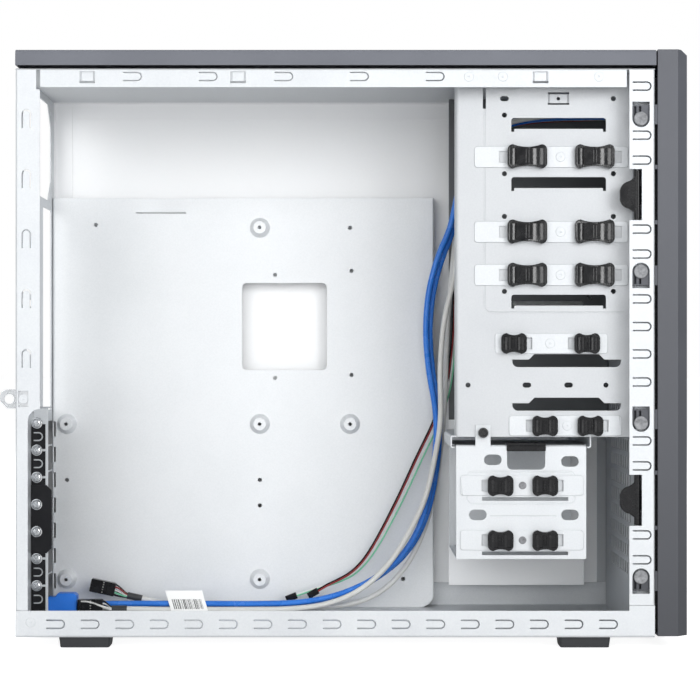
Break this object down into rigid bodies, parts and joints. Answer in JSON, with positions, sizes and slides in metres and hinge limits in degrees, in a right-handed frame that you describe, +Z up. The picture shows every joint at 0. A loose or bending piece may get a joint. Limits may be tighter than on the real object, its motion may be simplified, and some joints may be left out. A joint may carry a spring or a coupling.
{
  "type": "pc case",
  "caption": "Open tower computer chassis with a board tray, drive cage with sliding drive locks, pull-out hard-disk cage, slot covers, dark top cover, front bezel and loose front leads.",
  "frame": {"origin": "middle of the footprint, on the surface that the feet stand on", "axes": "+X from the rear panel to the front bezel, +Y from the open side to the closed side, +Z up"},
  "size_m": [0.4946, 0.2, 0.43],
  "materials": {
    "zinc_steel": "bare zinc-coated sheet, satin",
    "dark_paint": "dark grey paint, fine satin",
    "black_plastic": "black, satin",
    "dark_rubber": "dark grey, matt",
    "clear_lens": "clear",
    "blue_plastic": "blue sheath, satin",
    "grey_plastic": "grey sheath, satin",
    "red_plastic": "red and black pair",
    "green_plastic": "green and white pair",
    "white_paper": "white paper, bare"
  },
  "bodies": {
    "chassis": {"bay_cover_1": "dark_paint", "bay_cover_2": "dark_paint", "bay_cover_3": "dark_paint", "bay_cover_small": "dark_paint", "bay_lock_strips": "zinc_steel", "bezel_latch_pins": "zinc_steel", "bottom_plate": "zinc_steel", "cable_label": "white_paper", "cage_far_plate": "zinc_steel", "cage_near_plate": "zinc_steel", "cage_shelf": "zinc_steel", "chassis_rivets": "zinc_steel", "front_bezel": "dark_paint", "front_io_module": "black_plastic", "front_panel": "zinc_steel", "grey_cable_a": "grey_plastic", "grey_cable_b": "grey_plastic", "grey_plug_a": "black_plastic", "grey_plug_b": "black_plastic", "led_cable": "red_plastic", "led_lenses": "clear_lens", "motherboard_tray": "zinc_steel", "padlock_loop": "zinc_steel", "pin_plugs": "black_plastic", "rear_panel": "zinc_steel", "right_side_panel": "dark_paint", "rubber_feet": "dark_rubber", "slot_bracket": "black_plastic", "slot_covers": "black_plastic", "slot_screws": "zinc_steel", "slot_shelf": "zinc_steel", "switch_cable": "green_plastic", "top_cover": "dark_paint", "top_panel": "zinc_steel", "usb3_cable_a": "blue_plastic", "usb3_cable_b": "blue_plastic", "usb3_plug": "blue_plastic"},
    "hdd_cage": {"hdd_cage": "zinc_steel", "hdd_lock_strips": "zinc_steel", "hdd_cage_grip": "black_plastic", "hdd_thumbscrew": "black_plastic", "hdd_cage_rivets": "zinc_steel"},
    "bay_clip_a_rear": {"bay_clip_a_rear": "black_plastic"},
    "bay_clip_a_front": {"bay_clip_a_front": "black_plastic"},
    "bay_clip_b_rear": {"bay_clip_b_rear": "black_plastic"},
    "bay_clip_b_front": {"bay_clip_b_front": "black_plastic"},
    "bay_clip_c_rear": {"bay_clip_c_rear": "black_plastic"},
    "bay_clip_c_front": {"bay_clip_c_front": "black_plastic"},
    "bay_clip_d_rear": {"bay_clip_d_rear": "black_plastic"},
    "bay_clip_d_front": {"bay_clip_d_front": "black_plastic"},
    "bay_clip_e_rear": {"bay_clip_e_rear": "black_plastic"},
    "bay_clip_e_front": {"bay_clip_e_front": "black_plastic"},
    "disk_clip_a_rear": {"disk_clip_a_rear": "black_plastic"},
    "disk_clip_a_front": {"disk_clip_a_front": "black_plastic"},
    "disk_clip_b_rear": {"disk_clip_b_rear": "black_plastic"},
    "disk_clip_b_front": {"disk_clip_b_front": "black_plastic"},
    "bezel_latch_upper": {"bezel_latch_upper": "black_plastic"},
    "bezel_latch_lower": {"bezel_latch_lower": "black_plastic"},
    "power_button": {"power_button": "black_plastic"},
    "reset_button": {"reset_button": "black_plastic"}
  },
  "joints": [
    {"name": "bay_clip_a_rear_slide", "type": "slide", "parent": "chassis", "child": "bay_clip_a_rear", "axis": [-1, 0, 0], "range_m": [0, 0.006]},
    {"name": "bay_clip_a_front_slide", "type": "slide", "parent": "chassis", "child": "bay_clip_a_front", "axis": [1, 0, 0], "range_m": [0, 0.006]},
    {"name": "bay_clip_b_rear_slide", "type": "slide", "parent": "chassis", "child": "bay_clip_b_rear", "axis": [-1, 0, 0], "range_m": [0, 0.006]},
    {"name": "bay_clip_b_front_slide", "type": "slide", "parent": "chassis", "child": "bay_clip_b_front", "axis": [1, 0, 0], "range_m": [0, 0.006]},
    {"name": "bay_clip_c_rear_slide", "type": "slide", "parent": "chassis", "child": "bay_clip_c_rear", "axis": [-1, 0, 0], "range_m": [0, 0.006]},
    {"name": "bay_clip_c_front_slide", "type": "slide", "parent": "chassis", "child": "bay_clip_c_front", "axis": [1, 0, 0], "range_m": [0, 0.006]},
    {"name": "bay_clip_d_rear_slide", "type": "slide", "parent": "chassis", "child": "bay_clip_d_rear", "axis": [1, 0, 0], "range_m": [0, 0.009]},
    {"name": "bay_clip_d_front_slide", "type": "slide", "parent": "chassis", "child": "bay_clip_d_front", "axis": [-1, 0, 0], "range_m": [0, 0.009]},
    {"name": "bay_clip_e_rear_slide", "type": "slide", "parent": "chassis", "child": "bay_clip_e_rear", "axis": [-1, 0, 0], "range_m": [0, 0.009]},
    {"name": "bay_clip_e_front_slide", "type": "slide", "parent": "chassis", "child": "bay_clip_e_front", "axis": [1, 0, 0], "range_m": [0, 0.009]},
    {"name": "disk_clip_a_rear_slide", "type": "slide", "parent": "hdd_cage", "child": "disk_clip_a_rear", "axis": [-1, 0, 0], "range_m": [0, 0.009]},
    {"name": "disk_clip_a_front_slide", "type": "slide", "parent": "hdd_cage", "child": "disk_clip_a_front", "axis": [1, 0, 0], "range_m": [0, 0.009]},
    {"name": "disk_clip_b_rear_slide", "type": "slide", "parent": "hdd_cage", "child": "disk_clip_b_rear", "axis": [-1, 0, 0], "range_m": [0, 0.009]},
    {"name": "disk_clip_b_front_slide", "type": "slide", "parent": "hdd_cage", "child": "disk_clip_b_front", "axis": [1, 0, 0], "range_m": [0, 0.009]},
    {"name": "hdd_cage_slide", "type": "slide", "parent": "chassis", "child": "hdd_cage", "axis": [0, -1, 0], "range_m": [0, 0.14]},
    {"name": "bezel_latch_upper_turn", "type": "hinge", "parent": "chassis", "child": "bezel_latch_upper", "pos_m": [0.2112, -0.0944, 0.3259], "axis": [0, 0, -1], "range_deg": [0, 12], "stiffness_Nm_per_rad": 0.08},
    {"name": "bezel_latch_lower_turn", "type": "hinge", "parent": "chassis", "child": "bezel_latch_lower", "pos_m": [0.2112, -0.0944, 0.1065], "axis": [0, 0, -1], "range_deg": [0, 12], "stiffness_Nm_per_rad": 0.08},
    {"name": "power_button_press", "type": "slide", "parent": "chassis", "child": "power_button", "axis": [-1, 0, 0], "range_m": [0, 0.002], "stiffness_N_per_m": 300},
    {"name": "reset_button_press", "type": "slide", "parent": "chassis", "child": "reset_button", "axis": [-1, 0, 0], "range_m": [0, 0.002], "stiffness_N_per_m": 300}
  ]
}
